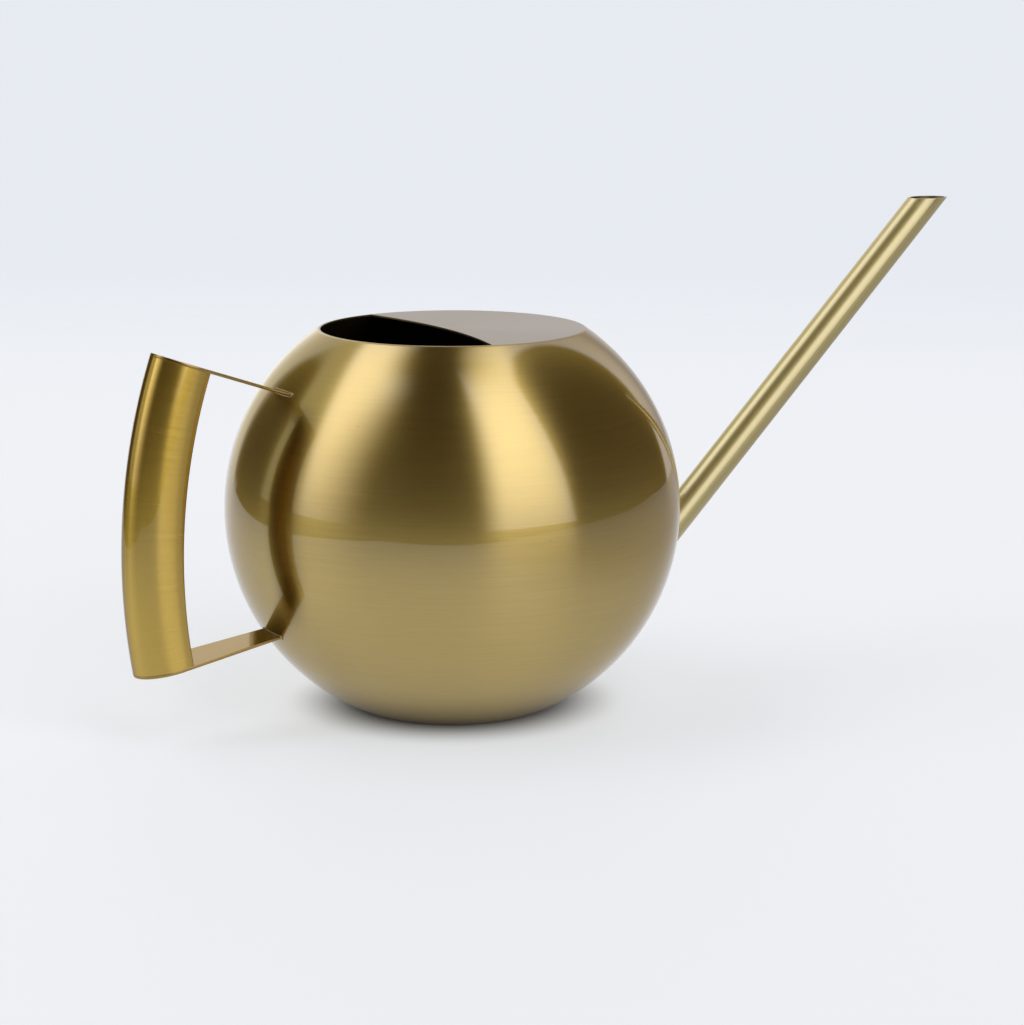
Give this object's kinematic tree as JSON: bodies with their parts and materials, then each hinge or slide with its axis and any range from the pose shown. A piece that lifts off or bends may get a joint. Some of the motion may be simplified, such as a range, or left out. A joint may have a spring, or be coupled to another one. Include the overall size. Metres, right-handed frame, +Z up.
{
  "type": "watering can",
  "caption": "Round watering can with a half-covered filling mouth, a straight slanted spout and an open channel grip on flat straps.",
  "frame": {"origin": "centre of the flat base, on the vertical axis of the round body, at the height of the surface it stands on", "axes": "+Z up along the axis of the round body, +X from the handle towards the spout, Y across, so the XZ plane is the mirror plane"},
  "size_m": [0.3166, 0.15, 0.1588],
  "materials": {
    "body_brass": "brushed around the body, semi-gloss",
    "spout_brass": "fine brushed, glossy",
    "handle_brass": "fine brushed, semi-gloss",
    "weld_brass": "ground and brushed weld"
  },
  "bodies": {
    "root": {"lower_shell": "body_brass", "upper_shell": "body_brass", "body_seam": "weld_brass", "spout_tube": "spout_brass", "spout_weld": "weld_brass", "grip_channel": "handle_brass", "upper_strap": "handle_brass", "lower_strap": "handle_brass", "upper_strap_weld": "weld_brass", "lower_strap_weld": "weld_brass", "grip_weld_upper": "weld_brass", "grip_weld_lower": "weld_brass"}
  },
  "joints": []
}
